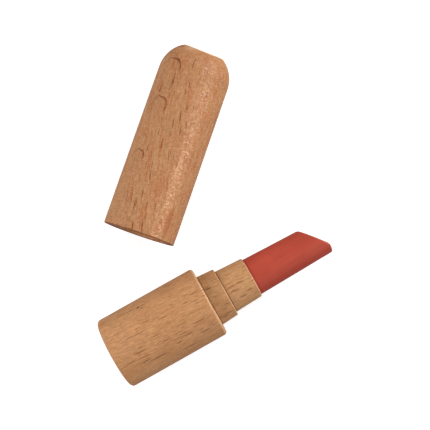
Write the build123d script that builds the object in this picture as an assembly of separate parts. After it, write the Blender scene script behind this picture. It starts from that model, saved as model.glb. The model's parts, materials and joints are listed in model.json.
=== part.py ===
from build123d import *
import math
import os

# A wooden toy lipstick lying on a table, with its cap taken off and lying beside it.
# Lengths are in millimetres and angles in degrees. Each piece is turned, so it is drawn
# along +X from its own foot or mouth, and then laid down where the toy lies.

# Barrel, the thick grip
barrel_length = 36.7
barrel_foot_chamfer = 1.0
barrel_top_chamfer = 0.9

# Collar, the step that the cap grips
collar_foot_diameter = 18.3
collar_height = 6.2
collar_taper = 3.9

# Neck, which holds the bullet
neck_ledge = 1.05
neck_height = 10.1
neck_taper = 2.6

# Bullet, the painted lipstick with its slanted cut
bullet_ledge = 0.6
bullet_height = 28.25
bullet_taper = 1.5
cut_angle = 51.5
cut_roll = 5.0
tip_land = 3.2
tip_chamfer = 0.5

# Broken edge at the top of the collar and of the neck
arris_chamfer = 0.4

# Glued tenons, each in a socket of the piece below it
collar_shoulder = 1.15
collar_tenon_length = 14.0
neck_shoulder = 2.7
neck_tenon_length = 12.0
bullet_shoulder = 2.6
bullet_tenon_length = 9.0
tenon_chamfer = 0.6
glue_gap = 0.05
glue_room = 1.0

# Cap
cap_play = 0.05
cap_wall = 3.3
cap_tip_room = 3.5
cap_end_wood = 19.3
drill_point_angle = 118.0
mouth_chamfer = 0.8
crown_centre_offset = 1.5
crown_flat_diameter = 11.9
crown_flat_lean = 13.8
crown_flat_turn = -3.4

# How the cap lies: turned away from the lipstick, its mouth beside the barrel
cap_turn = 41.9
cap_mouth_along = 26.7
cap_side_gap = 9.7

# What follows from the sizes above
collar_top_diameter = collar_foot_diameter - 2 * collar_height * math.tan(math.radians(collar_taper))
neck_foot_diameter = collar_top_diameter - 2 * neck_ledge
neck_top_diameter = neck_foot_diameter - 2 * neck_height * math.tan(math.radians(neck_taper))
bullet_foot_diameter = neck_top_diameter - 2 * bullet_ledge
bullet_top_diameter = bullet_foot_diameter - 2 * bullet_height * math.tan(math.radians(bullet_taper))

collar_tenon_diameter = collar_foot_diameter - 2 * collar_shoulder
neck_tenon_diameter = neck_foot_diameter - 2 * neck_shoulder
bullet_tenon_diameter = bullet_foot_diameter - 2 * bullet_shoulder

collar_place = barrel_length
neck_place = collar_place + collar_height
bullet_place = neck_place + neck_height
core_height = collar_height + neck_height + bullet_height

cap_bore_diameter = collar_foot_diameter + 2 * cap_play
cap_bore_depth = core_height + cap_tip_room
cap_diameter = cap_bore_diameter + 2 * cap_wall
cap_length = cap_bore_depth + cap_end_wood
barrel_diameter = cap_diameter

lying_height = barrel_diameter / 2
cap_mouth_aside = barrel_diameter / 2 + cap_side_gap + cap_diameter / 2 * math.cos(math.radians(cap_turn))


def turned(outline):
    """Turn a closed outline of (distance along the axis, radius) points into a solid."""
    profile = make_face(Polyline(*outline, close=True))
    return revolve(profile, axis=Axis.X)


def rim(piece, along, diameter):
    """Find the circular edge of a turned piece by its distance along the axis and its size."""
    near = 0.01
    circles = piece.edges().filter_by(GeomType.CIRCLE)
    at_place = circles.filter_by(lambda edge: abs(edge.arc_center.X - along) < near)
    return at_place.filter_by(lambda edge: abs(edge.radius - diameter / 2) < near)


def socket(diameter, tenon_length, top):
    """Blind hole that takes a glued tenon, open at the given height."""
    depth = tenon_length + glue_room
    radius = diameter / 2 + glue_gap
    return turned([(top - depth, 0), (top - depth, radius), (top, radius), (top, 0)])


def stepped_plug(foot_diameter, top_diameter, height, tenon_diameter, tenon_length):
    """Tapered plug on its own tenon, with the foot of the plug at zero."""
    plug = turned([
        (-tenon_length, 0),
        (-tenon_length, tenon_diameter / 2),
        (0, tenon_diameter / 2),
        (0, foot_diameter / 2),
        (height, top_diameter / 2),
        (height, 0),
    ])
    return chamfer(rim(plug, -tenon_length, tenon_diameter), tenon_chamfer)


def make_barrel():
    radius = barrel_diameter / 2
    barrel = turned([(0, 0), (0, radius), (barrel_length, radius), (barrel_length, 0)])
    barrel = chamfer(rim(barrel, 0, barrel_diameter), barrel_foot_chamfer)
    barrel = chamfer(rim(barrel, barrel_length, barrel_diameter), barrel_top_chamfer)
    return barrel - socket(collar_tenon_diameter, collar_tenon_length, barrel_length)


def make_collar():
    collar = stepped_plug(
        collar_foot_diameter, collar_top_diameter, collar_height, collar_tenon_diameter, collar_tenon_length
    )
    collar = chamfer(rim(collar, collar_height, collar_top_diameter), arris_chamfer)
    return collar - socket(neck_tenon_diameter, neck_tenon_length, collar_height)


def make_neck():
    neck = stepped_plug(
        neck_foot_diameter, neck_top_diameter, neck_height, neck_tenon_diameter, neck_tenon_length
    )
    neck = chamfer(rim(neck, neck_height, neck_top_diameter), arris_chamfer)
    return neck - socket(bullet_tenon_diameter, bullet_tenon_length, neck_height)


def make_bullet():
    """Tapered bullet whose slanted cut leaves a narrow blunt land at the tip."""
    bullet = stepped_plug(
        bullet_foot_diameter, bullet_top_diameter, bullet_height, bullet_tenon_diameter, bullet_tenon_length
    )
    lean = math.radians(cut_angle)
    roll = math.radians(cut_roll)
    cut_side = Vector(0, math.cos(roll), math.sin(roll))
    cut_edge = Vector(bullet_height, 0, 0) + cut_side * (tip_land - bullet_top_diameter / 2)
    cut_normal = Vector(math.sin(lean), 0, 0) + cut_side * math.cos(lean)
    bullet = split(bullet, bisect_by=Plane(origin=cut_edge, z_dir=cut_normal), keep=Keep.BOTTOM)
    tip_faces = bullet.faces().filter_by(GeomType.PLANE).sort_by(Axis.X)[-2:]
    tip_edges = ShapeList(edge for edge in bullet.edges() if any(edge in face.edges() for face in tip_faces))
    return chamfer(tip_edges, tip_chamfer)


def make_cap():
    """Cap with a blind drilled bore, a domed crown and a small flat sawn across the crown."""
    radius = cap_diameter / 2
    crown_round = radius - crown_centre_offset
    flat_reach = crown_flat_diameter / 2 - crown_centre_offset
    crown_rise = math.sqrt(crown_round ** 2 - flat_reach ** 2)
    blank_length = cap_length - crown_rise + crown_round
    cap = turned([(0, 0), (0, radius), (blank_length, radius), (blank_length, 0)])
    cap = fillet(rim(cap, blank_length, cap_diameter), crown_round)

    lean = math.radians(crown_flat_lean)
    turn = math.radians(crown_flat_turn)
    flat_normal = Vector(math.cos(turn) * math.cos(lean), math.sin(turn) * math.cos(lean), math.sin(lean))
    flat_plane = Plane(origin=(cap_length, 0, 0), z_dir=flat_normal)
    cap = split(cap, bisect_by=flat_plane, keep=Keep.BOTTOM)

    bore = cap_bore_diameter / 2
    point_depth = bore / math.tan(math.radians(drill_point_angle / 2))
    cap = cap - turned([(0, 0), (0, bore), (cap_bore_depth, bore), (cap_bore_depth + point_depth, 0)])
    return chamfer(rim(cap, 0, cap_bore_diameter), mouth_chamfer)


def lay_lipstick_piece(piece, place):
    return Pos(place, 0, lying_height) * piece


def lay_cap(cap):
    return Pos(cap_mouth_along, cap_mouth_aside, lying_height) * Rot(0, 0, cap_turn) * cap


pieces = {
    "barrel": lay_lipstick_piece(make_barrel(), 0),
    "collar": lay_lipstick_piece(make_collar(), collar_place),
    "neck": lay_lipstick_piece(make_neck(), neck_place),
    "bullet": lay_lipstick_piece(make_bullet(), bullet_place),
    "cap": lay_cap(make_cap()),
}

# The origin goes to the middle of the whole object's box, on the table
whole = Compound(children=[Compound(piece.wrapped) for piece in pieces.values()]).bounding_box()
to_origin = Pos(-whole.center().X, -whole.center().Y, -whole.min.Z)

os.makedirs("parts", exist_ok=True)
for node, piece in pieces.items():
    export_step(to_origin * piece, f"parts/{node}.step")
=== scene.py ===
import json
import math

import bpy
import numpy as np
from mathutils import Euler, Matrix, Vector, noise


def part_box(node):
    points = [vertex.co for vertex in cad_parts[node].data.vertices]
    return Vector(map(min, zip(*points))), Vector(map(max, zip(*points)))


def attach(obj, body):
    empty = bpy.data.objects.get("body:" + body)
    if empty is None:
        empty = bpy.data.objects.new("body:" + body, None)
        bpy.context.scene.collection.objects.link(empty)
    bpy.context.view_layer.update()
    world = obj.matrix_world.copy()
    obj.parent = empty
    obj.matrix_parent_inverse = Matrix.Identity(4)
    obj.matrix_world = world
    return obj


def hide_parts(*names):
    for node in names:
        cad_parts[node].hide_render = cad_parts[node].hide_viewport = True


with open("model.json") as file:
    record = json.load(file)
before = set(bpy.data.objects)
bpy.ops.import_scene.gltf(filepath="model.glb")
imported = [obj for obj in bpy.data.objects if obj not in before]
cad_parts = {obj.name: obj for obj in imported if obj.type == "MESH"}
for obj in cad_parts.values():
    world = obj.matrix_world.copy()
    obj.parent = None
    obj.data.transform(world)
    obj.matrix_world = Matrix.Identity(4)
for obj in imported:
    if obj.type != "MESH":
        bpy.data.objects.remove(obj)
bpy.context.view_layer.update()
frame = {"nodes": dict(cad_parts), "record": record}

# A beech toy lipstick with its cap off. Each turned piece is remade here with softer edges,
# rims painted pale for their wear and for the highlight they catch, and a solid beech material.
# Sizes are in millimetres and angles in degrees, and each piece is drawn along its own axis
# before it is laid in the frame.

MM = 0.001

# Shapes that the boxes of the frame don't give
BARREL_FOOT_ROUND = 1.4
BARREL_TOP_ROUND = 1.15
RIM_ROUND = 0.42
FOOT_EASE = 0.14
COLLAR_TAPER = 3.9
NECK_TAPER = 2.6
COLLAR_HEIGHT = 6.2
NECK_HEIGHT = 10.1
BULLET_HEIGHT = 28.25
BULLET_TAPER = 1.5
TENON_EASE = 0.6
COLLAR_TENON = 16.0
NECK_TENON = 9.95
BULLET_TENON = 8.04
GLUE_GAP = 0.05
GLUE_ROOM = 1.0

CUT_ANGLE = 51.5
CUT_ROLL = 5.0
TIP_LAND = 3.2
TIP_ROUND = 0.55

MOUTH_EASE = 0.3
MOUTH_CHAMFER = 0.8
CROWN_CENTRE_OFFSET = 1.5
CROWN_FLAT_DIAMETER = 11.9
CROWN_FLAT_LEAN = 13.8
CROWN_FLAT_TURN = -3.4
CROWN_RIM_ROUND = 0.32
DRILL_POINT_ANGLE = 118.0

# The sawn flat keeps a little inside the part's, and its grain is torn in coarse and fine waves
FLAT_INSET = 0.02
TORN_GRAIN = 0.02
TEAR_WAVES = (1.1, 3.1)

# Mesh fineness, in points and in millimetres. A dome's points are searched from outside it
AROUND = 256
ARC_STEPS = 8
MOUTH_ARC_STEPS = 5
WALL_STEP = 1.0
CRISP_STEP = 0.12
DOME_RINGS = 84
DOME_TRIES = 40
BULLET_DOME_START = 17.5
BULLET_DOME_FAR = 20.0
CROWN_DOME_FAR = 14.0
TINY = 1e-6

# How far hand sanding leaves a wall from a true turned form, in slow and in quick waves.
# Waves are counted per millimetre, and each noise is read at a place of its own
SANDING = 0.035
SLOW_WAVES = 0.11
SLOW_SHARE = 0.55
SLOW_PLACE = (3.1, 7.7)
QUICK_WAVES = 0.55
QUICK_SHARE = 0.3
QUICK_PLACE = (9.4, 1.3)
UNSANDED_CORE = 0.5


def low_high(node):
    low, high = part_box(node)
    return np.array(low) / MM, np.array(high) / MM


barrel_low, barrel_high = low_high("barrel")
collar_low, collar_high = low_high("collar")
neck_low, neck_high = low_high("neck")
bullet_low, bullet_high = low_high("bullet")

LIPSTICK_AXIS = np.array([
    barrel_low[0], (barrel_low[1] + barrel_high[1]) / 2, (barrel_low[2] + barrel_high[2]) / 2
])
BARREL_LENGTH = barrel_high[0] - barrel_low[0]
BARREL_RADIUS = (barrel_high[2] - barrel_low[2]) / 2
COLLAR_RADIUS = (collar_high[2] - collar_low[2]) / 2
NECK_RADIUS = (neck_high[2] - neck_low[2]) / 2
BULLET_RADIUS = (bullet_high[2] - bullet_low[2]) / 2

# Where each step of the lipstick starts, from the barrel's foot
COLLAR_FOOT = BARREL_LENGTH
NECK_FOOT = COLLAR_FOOT + COLLAR_HEIGHT
BULLET_FOOT = NECK_FOOT + NECK_HEIGHT

mounts = {mount["name"]: mount for mount in frame["record"]["mounts"]}
BORE = mounts["cap_bore"]["dims"]
BORE_RADIUS = BORE["r_mm"]
BORE_DEPTH = BORE["length_mm"] + MOUTH_CHAMFER
CAP_AXIS = -np.array(mounts["cap_bore"]["axis"])
CAP_TURN = math.atan2(CAP_AXIS[1], CAP_AXIS[0])
bore_middle = np.array(mounts["cap_bore"]["pos_m"]) / MM
CAP_MOUTH = bore_middle - CAP_AXIS * (BORE["length_mm"] / 2 + MOUTH_CHAMFER)
CAP_RADIUS = BARREL_RADIUS
CAP_SIDEWAYS = np.array([-CAP_AXIS[1], CAP_AXIS[0], 0])

# The crown's flat, along the cap, sideways and up, found where it touches the part's cap
cap_points = np.array([vertex.co for vertex in frame["nodes"]["cap"].data.vertices]) / MM - CAP_MOUTH
cap_points = np.stack([cap_points @ CAP_AXIS, cap_points @ CAP_SIDEWAYS, cap_points[:, 2]], axis=1)
flat_lean, flat_turn = math.radians(CROWN_FLAT_LEAN), math.radians(CROWN_FLAT_TURN)
FLAT_NORMAL = np.array([
    math.cos(flat_turn) * math.cos(flat_lean),
    math.sin(flat_turn) * math.cos(flat_lean),
    math.sin(flat_lean),
])
FLAT_REACH = (cap_points @ FLAT_NORMAL).max()
CAP_LENGTH = FLAT_REACH / FLAT_NORMAL[0]


# Meshes

def arc(centre, radius, start, end, steps=ARC_STEPS):
    """Points of a round edge in (along, across), from one angle to another."""
    angles = np.radians(np.linspace(start, end, steps + 1))
    return [(centre[0] + radius * math.cos(a), centre[1] + radius * math.sin(a)) for a in angles]


def wall(start, end):
    """Points along a straight wall, with a close pair at each end that keeps the shading crisp."""
    start, end = np.array(start, float), np.array(end, float)
    length = np.linalg.norm(end - start)
    if length < 3 * WALL_STEP / 4:
        return [tuple(start), tuple(end)]
    near = min(CRISP_STEP, length / 4) / length
    inner_shares = np.linspace(near, 1 - near, max(2, int(length / WALL_STEP) + 1))
    shares = np.concatenate([[0.0], inner_shares, [1.0]])
    return [tuple(start + (end - start) * share) for share in shares]


def loft(name, rings):
    """Join rings of points into a closed skin. A ring of one point closes an end."""
    points = np.concatenate([np.atleast_2d(ring) for ring in rings])
    faces = []
    first = 0
    for ring, following in zip(rings[:-1], rings[1:]):
        count, next_count = len(np.atleast_2d(ring)), len(np.atleast_2d(following))
        second = first + count
        for i in range(max(count, next_count)):
            j = (i + 1) % max(count, next_count)
            if count == 1:
                faces.append((first, second + j, second + i))
            elif next_count == 1:
                faces.append((first + i, first + j, second))
            else:
                faces.append((first + i, first + j, second + j, second + i))
        first = second
    mesh = bpy.data.meshes.new(name)
    mesh.from_pydata((points * MM).tolist(), [], faces)
    mesh.validate()
    mesh.shade_smooth()
    piece = bpy.data.objects.new(name, mesh)
    bpy.context.scene.collection.objects.link(piece)
    return piece


def circle(along, across):
    """One ring of a turned form, or its single point on the axis."""
    if across < TINY:
        return np.array([[along, 0.0, 0.0]])
    turns = np.linspace(0, 2 * math.pi, AROUND, endpoint=False)
    return np.stack([np.full(AROUND, along), across * np.cos(turns), across * np.sin(turns)], axis=1)


def sanded(points, seed):
    """Take a little off each point towards the axis, as hand sanding does."""
    out = []
    for point in points:
        place = Vector(point)
        slow = noise.noise(place * SLOW_WAVES + Vector((seed, *SLOW_PLACE)))
        quick = noise.noise(place * QUICK_WAVES + Vector((seed, *QUICK_PLACE)))
        share = min(1.0, max(0.0, 0.5 + SLOW_SHARE * slow + QUICK_SHARE * quick))
        inward = Vector((0, -place.y, -place.z))
        if inward.length > UNSANDED_CORE:
            inward.normalize()
            place = place + inward * SANDING * share
        out.append(tuple(place))
    return np.array(out)


def lay(rings, start, turn):
    """Move rings from a piece's own axis to where it lies in the frame."""
    cosine, sine = math.cos(turn), math.sin(turn)
    rotation = np.array([[cosine, -sine, 0], [sine, cosine, 0], [0, 0, 1]])
    return [np.atleast_2d(ring) @ rotation.T + start for ring in rings]


def turned(name, outline, foot, seed):
    """A lipstick piece from its outline of (along, across) points, set on its foot."""
    rings = [sanded(circle(*point), seed) for point in outline]
    return loft(name, lay(rings, LIPSTICK_AXIS + np.array([foot, 0, 0]), 0.0))


def make_barrel():
    length, radius = BARREL_LENGTH, BARREL_RADIUS
    foot, top = BARREL_FOOT_ROUND, BARREL_TOP_ROUND
    socket_radius = COLLAR_TENON / 2 + GLUE_GAP
    socket_end = collar_low[0] - LIPSTICK_AXIS[0] - GLUE_ROOM
    outline = wall((0, 0), (0, radius - foot))
    outline += arc((foot, radius - foot), foot, 180, 90)
    outline += wall((foot, radius), (length - top, radius))
    outline += arc((length - top, radius - top), top, 90, 0)
    outline += wall((length, radius - top), (length, socket_radius))
    outline += wall((length, socket_radius), (socket_end, socket_radius))
    outline += wall((socket_end, socket_radius), (socket_end, 0))
    return turned("barrel_turned", outline, 0.0, seed=1.0)


def step_outline(height, foot_radius, taper, tenon_radius, tenon_length, socket):
    """Outline of a tapered step on its tenon, with a softened rim and a socket for the next step."""
    slope = math.tan(math.radians(taper))
    top_radius = foot_radius - height * slope
    socket_radius, socket_depth = socket
    outline = wall((-tenon_length, 0), (-tenon_length, tenon_radius - TENON_EASE))
    outline += wall((-tenon_length + TENON_EASE, tenon_radius), (0, tenon_radius))
    outline += wall((0, tenon_radius), (0, foot_radius - FOOT_EASE))
    outline += wall((FOOT_EASE, foot_radius), (height - RIM_ROUND, top_radius + RIM_ROUND * slope))
    outline += arc((height - RIM_ROUND, top_radius - RIM_ROUND), RIM_ROUND, 90 - taper, 0)
    outline += wall((height, top_radius - RIM_ROUND), (height, socket_radius))
    outline += wall((height, socket_radius), (height - socket_depth, socket_radius))
    outline += wall((height - socket_depth, socket_radius), (height - socket_depth, 0))
    return outline


def make_collar():
    tenon_length = COLLAR_FOOT - (collar_low[0] - LIPSTICK_AXIS[0])
    socket_depth = NECK_FOOT - (neck_low[0] - LIPSTICK_AXIS[0]) + GLUE_ROOM
    socket = (NECK_TENON / 2 + GLUE_GAP, socket_depth)
    outline = step_outline(
        COLLAR_HEIGHT, COLLAR_RADIUS, COLLAR_TAPER, COLLAR_TENON / 2, tenon_length, socket
    )
    return turned("collar_turned", outline, COLLAR_FOOT, seed=2.0)


def make_neck():
    tenon_length = NECK_FOOT - (neck_low[0] - LIPSTICK_AXIS[0])
    socket_depth = BULLET_FOOT - (bullet_low[0] - LIPSTICK_AXIS[0]) + GLUE_ROOM
    socket = (BULLET_TENON / 2 + GLUE_GAP, socket_depth)
    outline = step_outline(
        NECK_HEIGHT, NECK_RADIUS, NECK_TAPER, NECK_TENON / 2, tenon_length, socket
    )
    return turned("neck_turned", outline, NECK_FOOT, seed=3.0)


def dome(centre_along, far, outside):
    """Rings over a convex end, each point found on its own ray from a centre on the axis.
    The outside function gives how far points lie outside the form, and is negative within."""
    turns = np.linspace(0, 2 * math.pi, AROUND, endpoint=False)
    centre = np.array([centre_along, 0, 0])
    out = []
    for lean in np.radians(np.linspace(90, 0, DOME_RINGS + 1)):
        if lean < TINY:
            directions = np.array([[1.0, 0.0, 0.0]])
        else:
            forward = np.full(AROUND, math.cos(lean))
            aside, up = math.sin(lean) * np.cos(turns), math.sin(lean) * np.sin(turns)
            directions = np.stack([forward, aside, up], axis=1)
        near_reach = np.zeros(len(directions))
        far_reach = np.full(len(directions), far)
        for _ in range(DOME_TRIES):
            middle = (near_reach + far_reach) / 2
            beyond = outside(directions * middle[:, None] + centre) > 0
            far_reach = np.where(beyond, middle, far_reach)
            near_reach = np.where(beyond, near_reach, middle)
        out.append(directions * near_reach[:, None] + centre)
    return out


def rounded_corner(*distances, radius):
    """How far a point lies outside several surfaces that meet in edges of the given radius."""
    outer = np.sqrt(sum(np.maximum(distance + radius, 0) ** 2 for distance in distances)) - radius
    inner = np.minimum(np.maximum.reduce(distances) + radius, 0)
    return outer + inner


def make_bullet():
    slope = math.tan(math.radians(BULLET_TAPER))
    top_radius = BULLET_RADIUS - BULLET_HEIGHT * slope
    tenon_length = BULLET_FOOT - (bullet_low[0] - LIPSTICK_AXIS[0])
    cut, roll = math.radians(CUT_ANGLE), math.radians(CUT_ROLL)
    cut_side = np.array([0, math.cos(roll), math.sin(roll)])
    cut_normal = np.array([math.sin(cut), 0, 0]) + cut_side * math.cos(cut)
    cut_edge = np.array([BULLET_HEIGHT, 0, 0]) + cut_side * (TIP_LAND - top_radius)

    def outside(points):
        side = np.hypot(points[:, 1], points[:, 2]) - (BULLET_RADIUS - points[:, 0] * slope)
        cut_face = (points - cut_edge) @ cut_normal
        land = points[:, 0] - BULLET_HEIGHT
        return rounded_corner(side, cut_face, land, radius=TIP_ROUND)

    wall_end = BULLET_DOME_START - WALL_STEP / 2
    outline = wall((-tenon_length, 0), (-tenon_length, BULLET_TENON / 2 - TENON_EASE))
    outline += wall((-tenon_length + TENON_EASE, BULLET_TENON / 2), (0, BULLET_TENON / 2))
    outline += wall((0, BULLET_TENON / 2), (0, BULLET_RADIUS))
    outline += wall((0, BULLET_RADIUS), (wall_end, BULLET_RADIUS - wall_end * slope))
    rings = [circle(*point) for point in outline] + dome(BULLET_DOME_START, BULLET_DOME_FAR, outside)
    rings = [sanded(ring, seed=4.0) for ring in rings]
    return loft("bullet_painted", lay(rings, LIPSTICK_AXIS + np.array([BULLET_FOOT, 0, 0]), 0.0))


def tear(point):
    """How high torn end grain stands at a point."""
    coarse, fine = [noise.noise(Vector(point) * waves) for waves in TEAR_WAVES]
    return coarse + fine / 2


def make_cap():
    radius, bore = CAP_RADIUS, BORE_RADIUS
    crown_round = radius - CROWN_CENTRE_OFFSET
    flat_radius = CROWN_FLAT_DIAMETER / 2 - CROWN_CENTRE_OFFSET
    straight = CAP_LENGTH - math.sqrt(crown_round ** 2 - flat_radius ** 2)
    bore_end = BORE_DEPTH + bore / math.tan(math.radians(DRILL_POINT_ANGLE / 2))

    def outside(points):
        across = np.hypot(points[:, 1], points[:, 2]) - CROWN_CENTRE_OFFSET
        crown = np.hypot(points[:, 0] - straight, np.maximum(across, 0)) - crown_round
        torn = np.array([tear(point) for point in points])
        flat = points @ FLAT_NORMAL - FLAT_REACH + FLAT_INSET + TORN_GRAIN * (1 + torn)
        return rounded_corner(crown, flat, radius=CROWN_RIM_ROUND)

    outline = wall((bore_end, 0), (BORE_DEPTH, bore))
    outline += wall((BORE_DEPTH, bore), (MOUTH_CHAMFER, bore))
    outline += wall((MOUTH_CHAMFER, bore), (0, bore + MOUTH_CHAMFER))
    outline += wall((0, bore + MOUTH_CHAMFER), (0, radius - MOUTH_EASE))
    outline += arc((MOUTH_EASE, radius - MOUTH_EASE), MOUTH_EASE, 180, 90, MOUTH_ARC_STEPS)
    outline += wall((MOUTH_EASE, radius), (straight - WALL_STEP / 2, radius))
    rings = [circle(*point) for point in outline] + dome(straight, CROWN_DOME_FAR, outside)
    rings = [sanded(ring, seed=5.0) for ring in rings]
    return loft("cap_turned", lay(rings, CAP_MOUTH, CAP_TURN))


# Materials

# Beech. Width of most growth rings
USUAL_RING = 2.6

# Noises of the beech. Waves are counted per millimetre: along the grain, along the rings and
# from ring to ring. Some noises add their detail and their roughness
WARP_WAVES = 0.035
WARP_REACH = (0, 1.2, 0.3)
RIPPLE_WAVES = (0.15, 0.5, 0.5)
RIPPLE_REACH = 0.22
FIBRE_NOISE = ((0.55, 2.4, 2.4), 3.0, 0.7)
PORE_NOISE = ((0.8, 3.2, 3.2), 1.0)
RED_NOISE = ((0.10, 0.8, 0.8), 3.0, 0.6)
CLOUD_WAVES = 0.07
SHIMMER_WAVES = (2.8, 0.8, 0.8)
END_RAY_WAVES = (0.2, 2.4, 0.2)

# Flecks: the cell that may hold one, a fleck's half sizes, and the share of cells that do.
# The placed ones share a thickness and a depth
LONG_FLECKS = ((8.0, 1.5, 8.0), (3.0, 0.16, 3.4), 0.3)
SHORT_FLECKS = ((4.0, 0.8, 5.0), (1.7, 0.13, 2.2), 0.5)
SHORT_FLECK_SHIFT = (11.3, 5.7, 2.9)
SHORT_FLECK_STRENGTH = 0.55
SMALLEST_FLECK = 0.5
SCATTER = 0.85
FLECK_RIM = (1.0, 0.6)
PLACED_RIM = (1.0, 0.3)
PLACED_STRETCH = 0.8
PLACED_THICKNESS = 0.21
PLACED_DEPTH = 2.0

# Fades, each from where a feature starts to where it is full, and its strength at either one
LATE_WOOD = (0.45, 0.97, 0.0, 0.35)
LINE_START = (0.88, 0.94)
LINE_END = (1.0, 0.975)
LINE_FACES = (0.22, 0.13, 0.06, 1.0)
FAINT_LINE = (0.15, 0.25, 0.4, 1.0)
FLECK_FACES = (0.25, 0.6, 0.12, 1.0)
CLOUDS = (0.3, 0.7, 0.0, 0.45)
REDNESS = (0.42, 0.66, 0.0, 0.7)
PORES = (0.56, 0.66)
GLINTS = (0.46, 0.64)
FIBRE_SHADE = (0.30, 0.70, 1.15, 0.83)
PORE_SHADE = (0.0, 1.0, 1.0, 0.88)
END_FACES = (0.94, 0.98)
END_RAYS = (0.40, 0.62, 0.495, 0.66)
END_RINGS = (0.45, 0.98, 1.1, 0.8)
CROWN_OIL = (0.2, 0.5, 1.0, 0.25)

# How much of their own colour the rims (wear and painted highlight), the glints (painted
# highlight specks), the ring lines and the flecks have
RIM_WEAR_AND_HIGHLIGHT = 0.5
PAINTED_GLINT_TINT = 0.13
RING_LINE = 0.85
FLECK = 0.9

# Relief in millimetres, what pores and flecks take from it, and the surface. A thin coat of oil
# glints on the sanding marks that run across the grain
GRAIN_RELIEF = 0.06
PORE_RELIEF = 0.5
FLECK_RELIEF = 0.25
SANDING_RELIEF = 0.11
WOOD_ROUGHNESS = 0.45
WOOD_SHINE = 0.06
OIL_ROUGHNESS = 0.3
LIPSTICK_OIL = 0.25
CAP_OIL = 0.9

# The arches on the cap, where growth rings come up through its wall
CAP_DRIFT = 7.5
ARCH_LINE = 0.42
ARCH_DEPTH = 3.0
ARCH_WAVES = 0.4
ARCH_WANDER = (1.6, 1.6, 0)
CAP_RING_TONE = (134, 70, 38)

# Paint: light, dark, streaks, grain lines and the darker band at the foot, where paint gathers
# and shade is painted into the corner
PAINT_TONES = ((183, 75, 57), (174, 68, 51), (154, 58, 45), (128, 48, 38), (162, 52, 46))
PAINT_STREAK_NOISE = ((0.12, 1.6, 1.6), 3.0, 0.6)
PAINT_FINE_WAVES = (0.5, 6.0, 6.0)
PAINT_CLOUD_WAVES = 0.09
PAINT_LINES = ((7.0, 1.3, 8.0), (3.0, 0.16, 3.2), 0.6)
PAINT_STREAKS = (0.45, 0.8, 0.0, 0.5)
PAINT_LINE = 0.45
PAINT_CLOUDS = (0.3, 0.7)
PAINT_SHADED_FOOT_BAND = (1.1, 0.3, 0.0, 0.55)
PAINT_RELIEF = 0.04
PAINT_RELIEF_STRENGTH = 0.4
STREAK_RELIEF = 0.6
FINE_RELIEF = 0.4
LINE_RELIEF = 0.6
PAINT_ROUGHNESS = 0.48
PAINT_SHINE = 0.15


def linear(red, green, blue):
    """A colour as it is seen, 0 to 255, turned into the shader's linear scale by the sRGB curve."""
    def channel(value):
        share = value / 255
        return share / 12.92 if share <= 0.04045 else ((share + 0.055) / 1.055) ** 2.4
    return (channel(red), channel(green), channel(blue), 1.0)


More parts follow.
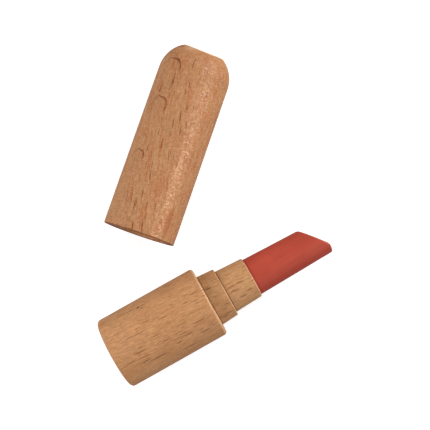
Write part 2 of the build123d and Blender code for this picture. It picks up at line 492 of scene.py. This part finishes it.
class Tree:
    """Short names for the nodes of one material."""

    def __init__(self, name):
        self.material = bpy.data.materials.new(name)
        self.material.use_nodes = True
        self.nodes = self.material.node_tree.nodes
        self.links = self.material.node_tree.links
        self.shader = self.nodes["Principled BSDF"]

    def join(self, value, socket):
        if isinstance(value, bpy.types.NodeSocket):
            self.links.new(value, socket)
        elif value is not None:
            socket.default_value = value

    def add(self, kind, settings=None, **inputs):
        node = self.nodes.new(kind)
        for key, value in (settings or {}).items():
            setattr(node, key, value)
        for key, value in inputs.items():
            self.join(value, node.inputs[key.replace("_", " ")])
        return node

    def math(self, operation, first, second=None, third=None):
        node = self.add("ShaderNodeMath", {"operation": operation})
        for value, socket in zip((first, second, third), node.inputs):
            self.join(value, socket)
        return node.outputs[0]

    def vector(self, operation, first, second=None):
        node = self.add("ShaderNodeVectorMath", {"operation": operation})
        self.join(first, node.inputs[0])
        self.join(second, node.inputs[1])
        return node.outputs["Value" if operation in ("LENGTH", "DOT_PRODUCT") else "Vector"]

    def fade(self, value, start, end, low=0.0, high=1.0):
        """Smooth step from low to high as the value goes from start to end."""
        node = self.add("ShaderNodeMapRange", {"interpolation_type": "SMOOTHSTEP"})
        parts = {"Value": value, "From Min": start, "From Max": end, "To Min": low, "To Max": high}
        for key, part in parts.items():
            self.join(part, node.inputs[key])
        return node.outputs["Result"]

    def mix(self, share, first, second):
        node = self.add("ShaderNodeMix", {"data_type": "RGBA"})
        self.join(share, node.inputs[0])
        self.join(first, node.inputs[6])
        self.join(second, node.inputs[7])
        return node.outputs[2]

    def shaded(self, colour, shade):
        """The colour with its three channels multiplied by the shade."""
        grey = self.add("ShaderNodeCombineColor", Red=shade, Green=shade, Blue=shade).outputs[0]
        node = self.add("ShaderNodeMix", {"data_type": "RGBA", "blend_type": "MULTIPLY"})
        self.join(1.0, node.inputs[0])
        self.join(colour, node.inputs[6])
        self.join(grey, node.inputs[7])
        return node.outputs[2]

    def noise(self, place, scale=1.0, detail=2.0, roughness=0.5):
        node = self.add("ShaderNodeTexNoise", Vector=place, Scale=scale, Detail=detail, Roughness=roughness)
        return node.outputs["Fac"]

    def stretched(self, place, waves, detail=2.0, roughness=0.5):
        """Noise with its own number of waves in each direction."""
        return self.noise(self.vector("MULTIPLY", place, waves), detail=detail, roughness=roughness)

    def wander(self, place, scale, detail, reach):
        """The place, shifted by noise."""
        node = self.add("ShaderNodeTexNoise", Vector=place, Scale=scale, Detail=detail)
        shift = self.vector("SUBTRACT", node.outputs["Color"], (0.5, 0.5, 0.5))
        return self.vector("ADD", place, self.vector("MULTIPLY", shift, reach))

    def cells(self, place):
        """Position of the nearest of many scattered points, and two random numbers of its own."""
        node = self.add("ShaderNodeTexVoronoi", Vector=place, Scale=1.0, Randomness=SCATTER)
        parts = self.add("ShaderNodeSeparateColor", Color=node.outputs["Color"])
        return node.outputs["Position"], parts.outputs[0], parts.outputs[1]

    def bump(self, height, relief, strength=1.0):
        """Surface that stands out by a relief in millimetres where the height is one."""
        node = self.add("ShaderNodeBump", Strength=strength, Distance=relief * MM, Height=height)
        return node.outputs["Normal"]

    def place_in(self, start, rotation):
        """Millimetres in a frame of its own, which stays with the piece when the piece moves."""
        coordinates = self.add("ShaderNodeTexCoord").outputs["Object"]
        node = self.add("ShaderNodeMapping", {"vector_type": "TEXTURE"}, Vector=coordinates)
        node.inputs["Location"].default_value = Vector(start) * MM
        node.inputs["Rotation"].default_value = rotation.to_euler()
        node.inputs["Scale"].default_value = (MM, MM, MM)
        return node.outputs["Vector"]

    def facing(self, direction):
        """How squarely the surface faces along a direction."""
        return self.vector("DOT_PRODUCT", self.add("ShaderNodeTexCoord").outputs["Normal"], direction)


def grain_frame(turn, bark_side, rise, drift):
    """Rotation from a piece of wood to the frame: X along the grain, Z from the pith to the bark.
    The bark side is an angle about the piece's axis from straight up, rise tips the grain towards
    the bark and drift tips it sideways."""
    lying = Matrix.Rotation(turn, 3, "Z")
    side = Matrix.Rotation(-math.radians(bark_side), 3, "X")
    tipped = Matrix.Rotation(-math.radians(rise), 3, "Y") @ Matrix.Rotation(math.radians(drift), 3, "Z")
    return lying @ side @ tipped


def flecks(tree, wood, cell, lens, share):
    """Ray flecks: thin lenses that run along the grain, at most one in each cell of the wood.
    A lens is given by its half sizes, and the share says how many of the cells hold one."""
    scaled = tree.vector("DIVIDE", wood, cell)
    middle, chance, size = tree.cells(scaled)
    offset = tree.vector("MULTIPLY", tree.vector("SUBTRACT", scaled, middle), cell)
    reach = tree.vector("LENGTH", tree.vector("DIVIDE", offset, lens))
    reach = tree.math("DIVIDE", reach, tree.fade(size, 0.0, 1.0, SMALLEST_FLECK, 1.0))
    return tree.math("MULTIPLY", tree.fade(reach, *FLECK_RIM), tree.math("LESS_THAN", chance, share))


def placed_fleck(tree, wood, middle, length, boldness):
    """One fleck about a place in the wood."""
    lens = (length * PLACED_STRETCH, PLACED_THICKNESS, PLACED_DEPTH)
    offset = tree.vector("SUBTRACT", wood, middle)
    reach = tree.vector("LENGTH", tree.vector("DIVIDE", offset, lens))
    return tree.fade(reach, *PLACED_RIM, 0.0, boldness)


def ring_count(tree, depth, edges):
    """Growth rings passed at a depth in the wood. A ring ends at each whole number, which falls
    at the given depths, and at the usual width beyond them."""
    below = tree.math("MINIMUM", tree.math("SUBTRACT", depth, edges[0]), 0.0)
    above = tree.math("MAXIMUM", tree.math("SUBTRACT", depth, edges[-1]), 0.0)
    count = tree.math("DIVIDE", tree.math("ADD", below, above), USUAL_RING)
    for low, high in zip(edges[:-1], edges[1:]):
        passed = tree.add("ShaderNodeMapRange", Value=depth, From_Min=low, From_Max=high).outputs["Result"]
        count = tree.math("ADD", count, passed)
    return count


def growth_rings(tree, wood, edges, bow, faint_edge):
    """How far through its ring each place is, from 0 to 1, and the line at the ring's end."""
    from_pith = tree.vector("ADD", tree.vector("MULTIPLY", wood, (0, 1, 1)), (0, 0, bow))
    depth = tree.math("SUBTRACT", tree.vector("LENGTH", from_pith), abs(bow))
    depth = tree.math("MULTIPLY", depth, math.copysign(1.0, bow))
    ripple = tree.math("SUBTRACT", tree.stretched(wood, RIPPLE_WAVES), 0.5)
    depth = tree.math("ADD", depth, tree.math("MULTIPLY", ripple, RIPPLE_REACH))
    ring = tree.math("FRACT", ring_count(tree, depth, edges))
    line = tree.math("MULTIPLY", tree.fade(ring, *LINE_START), tree.fade(ring, *LINE_END))
    from_faint = tree.math("ABSOLUTE", tree.math("SUBTRACT", depth, faint_edge))
    return ring, tree.math("MULTIPLY", line, tree.fade(from_faint, *FAINT_LINE))


def ray_flecks(tree, wood, straight, placed):
    """The random flecks of the wood with the placed ones, which keep to the straight grain."""
    long_flecks = flecks(tree, wood, *LONG_FLECKS)
    short_flecks = flecks(tree, tree.vector("ADD", wood, SHORT_FLECK_SHIFT), *SHORT_FLECKS)
    ray = tree.math("MAXIMUM", long_flecks, tree.math("MULTIPLY", short_flecks, SHORT_FLECK_STRENGTH))
    for fleck in placed:
        ray = tree.math("MAXIMUM", ray, placed_fleck(tree, straight, *fleck))
    return ray


def end_grain(tree, wood, ring, forward):
    """Shade of the faces across the grain, where rays and rings show and the oil soaks in."""
    shade = tree.fade(tree.stretched(wood, END_RAY_WAVES), *END_RAYS)
    shade = tree.math("MULTIPLY", shade, tree.fade(ring, *END_RINGS))
    end_face = tree.fade(tree.math("ABSOLUTE", forward), *END_FACES)
    return tree.math("MULTIPLY_ADD", end_face, tree.math("SUBTRACT", shade, 1.0), 1.0)


def beech(name, start, rotation, tones, rings, rim, oil, placed, marks):
    """Sanded, oiled beech as a solid: growth rings, rays, fibres and pores all run through it.
    The rings are their edges, their bow and the one faint edge. A negative bow puts the pith
    beyond the start. The rim says how squarely a face looks along the grain where it is painted
    pale, for its wear and for the highlight that its rounding catches.
    The placed flecks are given by their place in the frame, their length and how bold they are."""
    light, dark, red, fleck_colour, ring_colour, wear_and_highlight = [linear(*tone) for tone in tones]
    tree = Tree(name)
    straight = tree.place_in(start, rotation)
    wood = tree.wander(straight, WARP_WAVES, 1.0, WARP_REACH)

    along = rotation @ Vector((1, 0, 0))
    bark = rotation @ Vector((0, 0, 1))
    forward = tree.facing(along)
    flat_sawn = tree.math("ABSOLUTE", tree.facing(bark))
    quarter_sawn = tree.math("ABSOLUTE", tree.facing(bark.cross(along)))

    ring, line = growth_rings(tree, wood, *rings)
    line = tree.math("MULTIPLY", line, tree.fade(quarter_sawn, *LINE_FACES))
    to_wood = rotation.transposed()
    placed = [(to_wood @ Vector(place - start), length, boldness) for place, length, boldness in placed]
    ray = ray_flecks(tree, wood, straight, placed)
    ray = tree.math("MULTIPLY", ray, tree.fade(flat_sawn, *FLECK_FACES))

    fibres = tree.stretched(wood, *FIBRE_NOISE)
    pores = tree.fade(tree.stretched(wood, *PORE_NOISE), *PORES)
    clouds = tree.noise(wood, scale=CLOUD_WAVES)
    reddish = tree.stretched(wood, *RED_NOISE)
    shimmer = tree.stretched(wood, SHIMMER_WAVES)
    glint = tree.fade(shimmer, *GLINTS)

    colour = tree.mix(tree.fade(ring, *LATE_WOOD), light, dark)
    colour = tree.mix(tree.fade(clouds, *CLOUDS), colour, dark)
    colour = tree.mix(tree.fade(reddish, *REDNESS), colour, red)
    # Rims facing along the grain are painted pale: their wear, and a painted highlight they catch
    colour = tree.mix(tree.fade(forward, *rim, 0.0, RIM_WEAR_AND_HIGHLIGHT), colour, wear_and_highlight)
    # Pale specks where the oil glints: a painted highlight in the colour
    colour = tree.mix(tree.math("MULTIPLY", glint, PAINTED_GLINT_TINT * oil), colour, wear_and_highlight)
    shade = tree.math("MULTIPLY", tree.fade(fibres, *FIBRE_SHADE), tree.fade(pores, *PORE_SHADE))
    colour = tree.shaded(colour, shade)
    colour = tree.mix(tree.math("MULTIPLY", line, RING_LINE), colour, ring_colour)
    colour = tree.mix(tree.math("MULTIPLY", ray, FLECK), colour, fleck_colour)
    colour = tree.shaded(colour, end_grain(tree, wood, ring, forward))
    for mark in marks:
        colour = mark(tree, colour)
    tree.join(colour, tree.shader.inputs["Base Color"])

    height = tree.math("SUBTRACT", fibres, tree.math("MULTIPLY", pores, PORE_RELIEF))
    height = tree.math("SUBTRACT", height, tree.math("MULTIPLY", ray, FLECK_RELIEF))
    tree.join(tree.bump(height, GRAIN_RELIEF), tree.shader.inputs["Normal"])
    tree.shader.inputs["Roughness"].default_value = WOOD_ROUGHNESS
    tree.shader.inputs["Specular IOR Level"].default_value = WOOD_SHINE

    oiled = tree.math("MULTIPLY", tree.fade(forward, *CROWN_OIL), oil)
    tree.join(tree.math("MULTIPLY", glint, oiled), tree.shader.inputs["Coat Weight"])
    tree.join(tree.bump(shimmer, SANDING_RELIEF), tree.shader.inputs["Coat Normal"])
    tree.shader.inputs["Coat Roughness"].default_value = OIL_ROUGHNESS
    return tree.material


def spot(start, rotation, reach, edge, colour, strength):
    """A mark of its own colour, an ellipsoid about one place in the wood. The reach is its half
    sizes, and the edge is the share of them within which it has its full strength."""
    def add(tree, under):
        place = tree.place_in(start, rotation)
        share = tree.vector("LENGTH", tree.vector("DIVIDE", place, reach))
        mask = tree.math("MULTIPLY", tree.fade(share, 1.0, edge), strength)
        return tree.mix(mask, under, colour)
    return add


def arch(along, around, half_width, legs, strength):
    """A growth ring that comes up through the cap's wall, as a line bent over like a finger
    with legs of some length. Its side towards the lipstick is the darker one."""
    rotation = grain_frame(CAP_TURN, around, 0.0, CAP_DRIFT)

    def add(tree, under):
        place = tree.wander(tree.place_in(on_cap(along, around), rotation), ARCH_WAVES, 2.0, ARCH_WANDER)
        forward, aside, depth = tree.add("ShaderNodeSeparateXYZ", Vector=place).outputs
        bend = tree.math("MAXIMUM", tree.math("ADD", forward, half_width), 0.0)
        squares = tree.math("ADD", tree.math("POWER", bend, 2.0), tree.math("POWER", aside, 2.0))
        off_line = tree.math("ABSOLUTE", tree.math("SUBTRACT", tree.math("SQRT", squares), half_width))
        mask = tree.fade(off_line, ARCH_LINE, ARCH_LINE / 3)
        mask = tree.math("MULTIPLY", mask, tree.fade(forward, -legs, -legs / 2))
        boldness = tree.fade(aside, -half_width / 3, half_width, strength, strength / 3)
        mask = tree.math("MULTIPLY", mask, boldness)
        near_wall = tree.fade(tree.math("ABSOLUTE", depth), ARCH_DEPTH, ARCH_DEPTH / 2)
        mask = tree.math("MULTIPLY", mask, near_wall)
        return tree.mix(mask, under, linear(*CAP_RING_TONE))
    return add


def on_lipstick(along, around, radius=BARREL_RADIUS):
    """A place on the lipstick's wall. The angle is from straight up, towards the cap."""
    angle = math.radians(around)
    return LIPSTICK_AXIS + np.array([along, radius * math.sin(angle), radius * math.cos(angle)])


def on_cap(along, around):
    """A place on the cap's wall. The angle is from straight up, away from the lipstick."""
    angle = math.radians(around)
    outward = CAP_SIDEWAYS * math.sin(angle) + np.array([0, 0, 1]) * math.cos(angle)
    return CAP_MOUTH + CAP_AXIS * along + outward * CAP_RADIUS


def red_paint(start):
    """Thin coral red paint, through which the grain of the wood shows faintly."""
    light, dark, streak_colour, line_colour, shaded_foot_band_colour = [linear(*tone) for tone in PAINT_TONES]
    tree = Tree("red_paint")
    place = tree.place_in(start, Matrix.Identity(3))
    streaks = tree.stretched(place, *PAINT_STREAK_NOISE)
    fine = tree.stretched(place, PAINT_FINE_WAVES)
    clouds = tree.noise(place, scale=PAINT_CLOUD_WAVES)
    grain_lines = flecks(tree, place, *PAINT_LINES)
    along = tree.add("ShaderNodeSeparateXYZ", Vector=place).outputs[0]

    colour = tree.mix(tree.fade(clouds, *PAINT_CLOUDS), light, dark)
    colour = tree.mix(tree.fade(streaks, *PAINT_STREAKS), colour, streak_colour)
    colour = tree.mix(tree.math("MULTIPLY", grain_lines, PAINT_LINE), colour, line_colour)
    # Darker band at the bullet's foot: gathered paint, with painted shade in the corner
    colour = tree.mix(tree.fade(along, *PAINT_SHADED_FOOT_BAND), colour, shaded_foot_band_colour)
    tree.join(colour, tree.shader.inputs["Base Color"])

    height = tree.math("MULTIPLY", streaks, STREAK_RELIEF)
    height = tree.math("ADD", height, tree.math("MULTIPLY", fine, FINE_RELIEF))
    height = tree.math("SUBTRACT", height, tree.math("MULTIPLY", grain_lines, LINE_RELIEF))
    tree.join(tree.bump(height, PAINT_RELIEF, PAINT_RELIEF_STRENGTH), tree.shader.inputs["Normal"])
    tree.shader.inputs["Roughness"].default_value = PAINT_ROUGHNESS
    tree.shader.inputs["Specular IOR Level"].default_value = PAINT_SHINE
    return tree.material


# Dressing

def dress(piece, node, body, material):
    piece.data.materials.append(material)
    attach(piece, body)
    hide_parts(node)


# Tones of the light and the dark wood, its reddish streaks, the flecks, the ring lines and the pale
# of rims, painted for wear and for the highlight they catch
BARREL_TONES = (
    (197, 145, 101), (182, 130, 87), (188, 131, 87), (126, 77, 45), (150, 98, 62), (230, 190, 150),
)
COLLAR_TONES = (
    (197, 148, 102), (181, 131, 87), (188, 132, 88), (104, 60, 32), (140, 90, 56), (230, 190, 150),
)
NECK_TONES = (
    (199, 151, 106), (184, 134, 91), (191, 136, 92), (114, 68, 39), (146, 94, 60), (230, 190, 150),
)
CAP_TONES = (
    (188, 137, 95), (173, 120, 80), (179, 111, 70), (124, 64, 32), CAP_RING_TONE, (222, 180, 138),
)

# Ring edges, by depth along the line from pith to bark, then the bow and the faint edge
BARREL_RINGS = ((-8.0, -2.5, 2.5), 70.0, 2.5)
COLLAR_RINGS = ((-6.5, -1.0), 70.0, -1.0)
NECK_RINGS = ((-8.0, -2.0), 70.0, -2.0)
CAP_RINGS = ((-14.0, -9.0, -6.6, 1.0), -50.0, -6.6)
CAP_FLAT_SAWN = 41.0
CAP_GRAIN_RISE = 5.0

# How squarely a rim looks along the grain where its pale, painted for wear and highlight,
# starts to show and where it is full
STEP_RIM = (0.4, 0.75)
CROWN_RIM = (0.75, 0.95)

# Main flecks, by place along the lipstick or the cap, angle from straight up, length and boldness
BARREL_FLECKS = (
    (5.0, 24, 3.3, 0.7), (2.4, 25, 2.0, 0.5), (8.1, 9, 3.0, 0.8), (11.6, 8, 3.3, 0.8),
    (15.0, 19, 3.6, 0.9), (12.2, 16, 2.0, 0.5), (21.2, 11, 3.0, 0.8), (33.3, 21, 2.5, 0.9),
    (29.4, 14, 1.8, 0.7), (32.2, 10, 3.0, 0.6), (35.8, 10, 1.5, 1.0), (15.8, -7, 3.3, 0.9),
    (9.9, -11, 2.0, 0.8), (7.8, -16, 2.2, 0.6), (24.5, -11, 3.5, 0.6), (18.4, -21, 2.6, 1.0),
    (22.7, -20, 3.2, 0.6), (30.5, -20, 4.5, 1.0), (4.8, -25, 3.5, 0.8), (25.3, -30, 3.3, 1.0),
    (9.2, -35, 3.3, 1.0), (13.5, -40, 6.0, 1.0), (21.7, -35, 2.6, 0.9), (31.2, -40, 3.3, 1.0),
    (24.5, -53, 6.5, 1.0), (12.0, 51, 5.0, 0.6), (4.1, 47, 1.7, 0.6),
)
COLLAR_FLECKS = ((38.2, 22, 2.4, 1.0), (39.2, 0, 1.6, 0.5), (41.3, -25, 1.8, 0.8), (39.0, -53, 2.2, 1.0))
NECK_FLECKS = (
    (45.3, 3, 2.6, 0.9), (48.4, 3, 2.8, 1.0), (45.2, -8, 1.4, 0.8), (50.0, -25, 2.2, 0.9),
    (47.5, -33, 2.4, 0.9), (52.4, 35, 2.4, 0.7), (46.2, 37, 2.6, 0.6), (48.6, 40, 1.6, 0.6),
)
CAP_FLECKS = (
    (1.3, 7, 3.0, 1.0), (8.0, 15, 3.5, 1.0), (12.4, 9, 4.2, 0.8), (19.2, 7, 3.4, 1.0),
    (22.9, 10, 2.5, 0.7), (24.6, 30, 2.6, 1.0), (27.8, 26, 2.3, 1.0), (30.1, 6, 4.2, 1.0),
    (33.8, 17, 2.7, 0.7), (37.8, 0, 2.9, 0.9), (34.1, -2, 1.6, 0.7), (40.6, -7, 3.8, 1.0),
    (36.1, -14, 2.7, 0.7), (38.6, -20, 2.3, 0.8), (44.1, -12, 1.4, 1.0), (49.0, -2, 2.0, 0.8),
    (51.8, -4, 2.0, 0.9), (47.8, 14, 2.0, 0.5), (52.4, 22.4, 5.2, 1.0), (51.6, 23.8, 4.2, 0.9),
    (60.5, -24, 2.7, 0.9), (60.5, -29, 2.3, 0.7), (61.2, -38, 2.0, 0.7), (45.2, -22, 1.4, 0.9),
    (5.7, -7, 4.0, 0.5), (10.0, -16, 2.7, 0.5), (26.8, -10, 4.0, 0.6), (17.4, -23, 4.0, 0.6),
)

barrel_grain = grain_frame(0.0, bark_side=8.0, rise=2.0, drift=-2.5)
collar_grain = grain_frame(0.0, bark_side=-20.0, rise=0.0, drift=-4.0)
neck_grain = grain_frame(0.0, bark_side=15.0, rise=1.0, drift=-2.0)
cap_grain = grain_frame(CAP_TURN, CAP_FLAT_SAWN, CAP_GRAIN_RISE, CAP_DRIFT)
straight_lipstick = Matrix.Identity(3)
straight_cap = grain_frame(CAP_TURN, bark_side=0.0, rise=0.0, drift=0.0)
sawn_flat = grain_frame(CAP_TURN + flat_turn, bark_side=0.0, rise=CROWN_FLAT_LEAN, drift=0.0)

# Where the collar's and the neck's wood is counted from, along the lipstick and as an angle
COLLAR_WOOD = (40, 5)
NECK_WOOD = (60, 10)

# Reach of a mark that goes right across a piece, and the tone of the shade painted into a corner
ACROSS = 99.0
PAINTED_SHADE_TONE = (118, 72, 42)

crown_middle = CAP_MOUTH + CAP_AXIS * CAP_LENGTH
barrel_marks = (
    # Knot, with its halo and a speck beside it
    spot(on_lipstick(16.4, 49.0), barrel_grain, (1.6, 0.5, 0.8), 0.3, linear(150, 98, 62), 0.55),
    spot(on_lipstick(16.1, 44.0), barrel_grain, (0.7, 0.25, 0.5), 0.4, linear(110, 66, 38), 0.8),
    spot(on_lipstick(15.0, 49.0), barrel_grain, (0.55, 0.42, 0.5), 0.4, linear(60, 32, 18), 1.0),
)
cap_marks = (
    # Face of the mouth, darker as end grain and with painted shade, a streak near it and a dark
    # dot between the arches
    spot(CAP_MOUTH, straight_cap, (0.22, ACROSS, ACROSS), 0.5, linear(128, 64, 34), 0.75),
    spot(on_cap(5.5, -46.0), straight_cap, (8.0, 1.2, 1.5), 0.4, linear(160, 96, 60), 0.6),
    spot(on_cap(47.5, 42.0), cap_grain, (0.75, 0.5, 1.0), 0.4, linear(128, 66, 36), 0.9),
    # Pale crown, a painted highlight over its wear, its bare sawn flat and a reddish patch
    spot(on_cap(65.0, 20.0), straight_cap, (2.6, 6.5, 6.0), 0.1, linear(232, 194, 152), 0.5),
    spot(crown_middle, sawn_flat, (0.6, ACROSS, ACROSS), 0.3, linear(224, 182, 136), 0.5),
    spot(on_cap(61.8, -15.0), straight_cap, (2.6, 1.8, 4.0), 0.5, linear(172, 108, 70), 0.5),
    arch(26.6, 41.0, 2.2, 3.4, 0.85),
    arch(31.8, 41.0, 1.5, 2.2, 0.35),
    arch(45.7, 37.0, 2.9, 8.0, 0.8),
    arch(59.6, 37.5, 3.4, 5.5, 0.95),
)


def painted_corner_shade(foot, reach, strength):
    """Painted shade in the corner at the foot of a step."""
    middle = LIPSTICK_AXIS + np.array([foot, 0, 0])
    return spot(middle, straight_lipstick, (reach, ACROSS, ACROSS), 0.0, linear(*PAINTED_SHADE_TONE), strength)


def placed_flecks(table, where, *radius):
    """Flecks from a table, each with its place in the frame."""
    return [(where(along, around, *radius), length, boldness) for along, around, length, boldness in table]


beech_barrel = beech(
    "beech_barrel", on_lipstick(0, 0), barrel_grain, BARREL_TONES, BARREL_RINGS,
    STEP_RIM, LIPSTICK_OIL, placed_flecks(BARREL_FLECKS, on_lipstick), barrel_marks,
)
beech_collar = beech(
    "beech_collar", on_lipstick(*COLLAR_WOOD), collar_grain, COLLAR_TONES, COLLAR_RINGS,
    STEP_RIM, LIPSTICK_OIL, placed_flecks(COLLAR_FLECKS, on_lipstick, COLLAR_RADIUS),
    # Painted shade in the corner at the collar's foot
    [painted_corner_shade(COLLAR_FOOT, reach=0.9, strength=0.45)],
)
beech_neck = beech(
    "beech_neck", on_lipstick(*NECK_WOOD), neck_grain, NECK_TONES, NECK_RINGS,
    STEP_RIM, LIPSTICK_OIL, placed_flecks(NECK_FLECKS, on_lipstick, NECK_RADIUS),
    # Painted shade in the corner at the neck's foot
    [painted_corner_shade(NECK_FOOT, reach=0.6, strength=0.75)],
)
beech_cap = beech(
    "beech_cap", on_cap(0, CAP_FLAT_SAWN), cap_grain, CAP_TONES, CAP_RINGS,
    CROWN_RIM, CAP_OIL, placed_flecks(CAP_FLECKS, on_cap), cap_marks,
)

dress(make_barrel(), "barrel", "lipstick", beech_barrel)
dress(make_collar(), "collar", "lipstick", beech_collar)
dress(make_neck(), "neck", "lipstick", beech_neck)
paint_start = LIPSTICK_AXIS + np.array([BULLET_FOOT, 0, 0])
dress(make_bullet(), "bullet", "lipstick", red_paint(paint_start))
dress(make_cap(), "cap", "cap", beech_cap)

# Camera, which looks down from nearly overhead. Its place is from the barrel's foot, on the table,
# and nothing nearer than a hundredth of a metre is seen
CAMERA_PLACE = Vector((38.91, -7.15, 345.11))
CAMERA_TURN = (5.885, 0.621, -29.271)
FOCAL_PIXELS = 981.1
FRAME_PIXELS = 430
SENSOR = 36.0
NEAREST = 0.01

# Soft lamps, by name, compass turn, rise above the table and power in watts
LAMP_TARGET = (40, 20, 10)
LAMP_DISTANCE = 600
LAMP_SIZE = 350
LAMPS = (
    ("foot_end", 180, 35, 1.3),
    ("mouth_side", 150, 20, 1.35),
    ("crown_end", 60, 30, 0.5),
    ("tip_end", 0, 25, 3.0),
    ("near_side", -75, 25, 0.6),
)

# Small warm lamp that only shows as glints in the oil along the cap
GLINT_TARGET = (52, 54, 15)
GLINT_TURN = -46
GLINT_RISE = 32
GLINT_DISTANCE = 160
GLINT_SIZE = 60
GLINT_POWER = 0.15
GLINT_COLOUR = (1.0, 0.84, 0.66)

# Level of the light from all round, and the floor: its half width in metres, its grey for light
# and for the camera, and where its glow for the camera starts, ends, and how strong it is
ROUND_LIGHT = 0.34
FLOOR_HALF = 1.5
FLOOR_GREY = (0.32, 0.32, 0.32, 1)
FLOOR_SEEN = (0.62, 0.62, 0.62, 1)
FLOOR_GLOW = (0.15, 0.6, 0.66, 1.0)
WHITE = (1, 1, 1, 1)

table = Vector((LIPSTICK_AXIS[0], LIPSTICK_AXIS[1], 0)) * MM


def make_camera():
    camera = bpy.data.objects.new("camera", bpy.data.cameras.new("camera"))
    camera.data.sensor_width = SENSOR
    camera.data.lens = FOCAL_PIXELS / FRAME_PIXELS * SENSOR
    camera.data.clip_start = NEAREST
    camera.location = table + CAMERA_PLACE * MM
    camera.rotation_euler = Euler([math.radians(angle) for angle in CAMERA_TURN])
    bpy.context.scene.collection.objects.link(camera)
    bpy.context.scene.camera = camera


def make_lamp(name, target, turn, rise, distance, size, power):
    """Square soft lamp that faces a target from a compass turn and a rise above the table."""
    direction = Vector((
        math.cos(math.radians(turn)) * math.cos(math.radians(rise)),
        math.sin(math.radians(turn)) * math.cos(math.radians(rise)),
        math.sin(math.radians(rise)),
    ))
    lamp = bpy.data.objects.new(name, bpy.data.lights.new(name, "AREA"))
    lamp.data.size = size * MM
    lamp.data.energy = power
    lamp.location = table + (Vector(target) + direction * distance) * MM
    lamp.rotation_euler = direction.to_track_quat("Z", "Y").to_euler()
    bpy.context.scene.collection.objects.link(lamp)
    return lamp


def make_world(level):
    world = bpy.data.worlds.new("studio")
    world.use_nodes = True
    nodes, links = world.node_tree.nodes, world.node_tree.links
    background = nodes["Background"]
    background.inputs["Color"].default_value = WHITE
    path = nodes.new("ShaderNodeLightPath")
    strength = nodes.new("ShaderNodeMapRange")
    strength.inputs["To Min"].default_value = level
    strength.inputs["To Max"].default_value = 1.0
    links.new(path.outputs["Is Camera Ray"], strength.inputs["Value"])
    links.new(strength.outputs["Result"], background.inputs["Strength"])
    bpy.context.scene.world = world


def make_floor():
    """Pale table. The camera sees its shadows near the object, and plain white farther out."""
    half = FLOOR_HALF
    mesh = bpy.data.meshes.new("floor")
    corners = [(-half, -half, 0), (half, -half, 0), (half, half, 0), (-half, half, 0)]
    mesh.from_pydata(corners, [], [(0, 1, 2, 3)])
    floor = bpy.data.objects.new("floor", mesh)
    bpy.context.scene.collection.objects.link(floor)
    tree = Tree("floor_paper")
    tree.shader.inputs["Roughness"].default_value = 1.0
    tree.shader.inputs["Specular IOR Level"].default_value = 0.0
    seen = tree.add("ShaderNodeLightPath").outputs["Is Camera Ray"]
    tree.join(tree.mix(seen, FLOOR_GREY, FLOOR_SEEN), tree.shader.inputs["Base Color"])
    tree.shader.inputs["Emission Color"].default_value = WHITE
    from_middle = tree.vector("LENGTH", tree.add("ShaderNodeTexCoord").outputs["Object"])
    glow = tree.fade(from_middle, *FLOOR_GLOW)
    tree.join(tree.math("MULTIPLY", seen, glow), tree.shader.inputs["Emission Strength"])
    mesh.materials.append(tree.material)


bpy.context.scene.view_settings.view_transform = "Standard"
make_camera()
make_world(ROUND_LIGHT)
for name, turn, rise, power in LAMPS:
    make_lamp(name, LAMP_TARGET, turn, rise, LAMP_DISTANCE, LAMP_SIZE, power)
glints = make_lamp("glints", GLINT_TARGET, GLINT_TURN, GLINT_RISE, GLINT_DISTANCE, GLINT_SIZE, GLINT_POWER)
glints.visible_diffuse = False
glints.data.color = GLINT_COLOUR
make_floor()
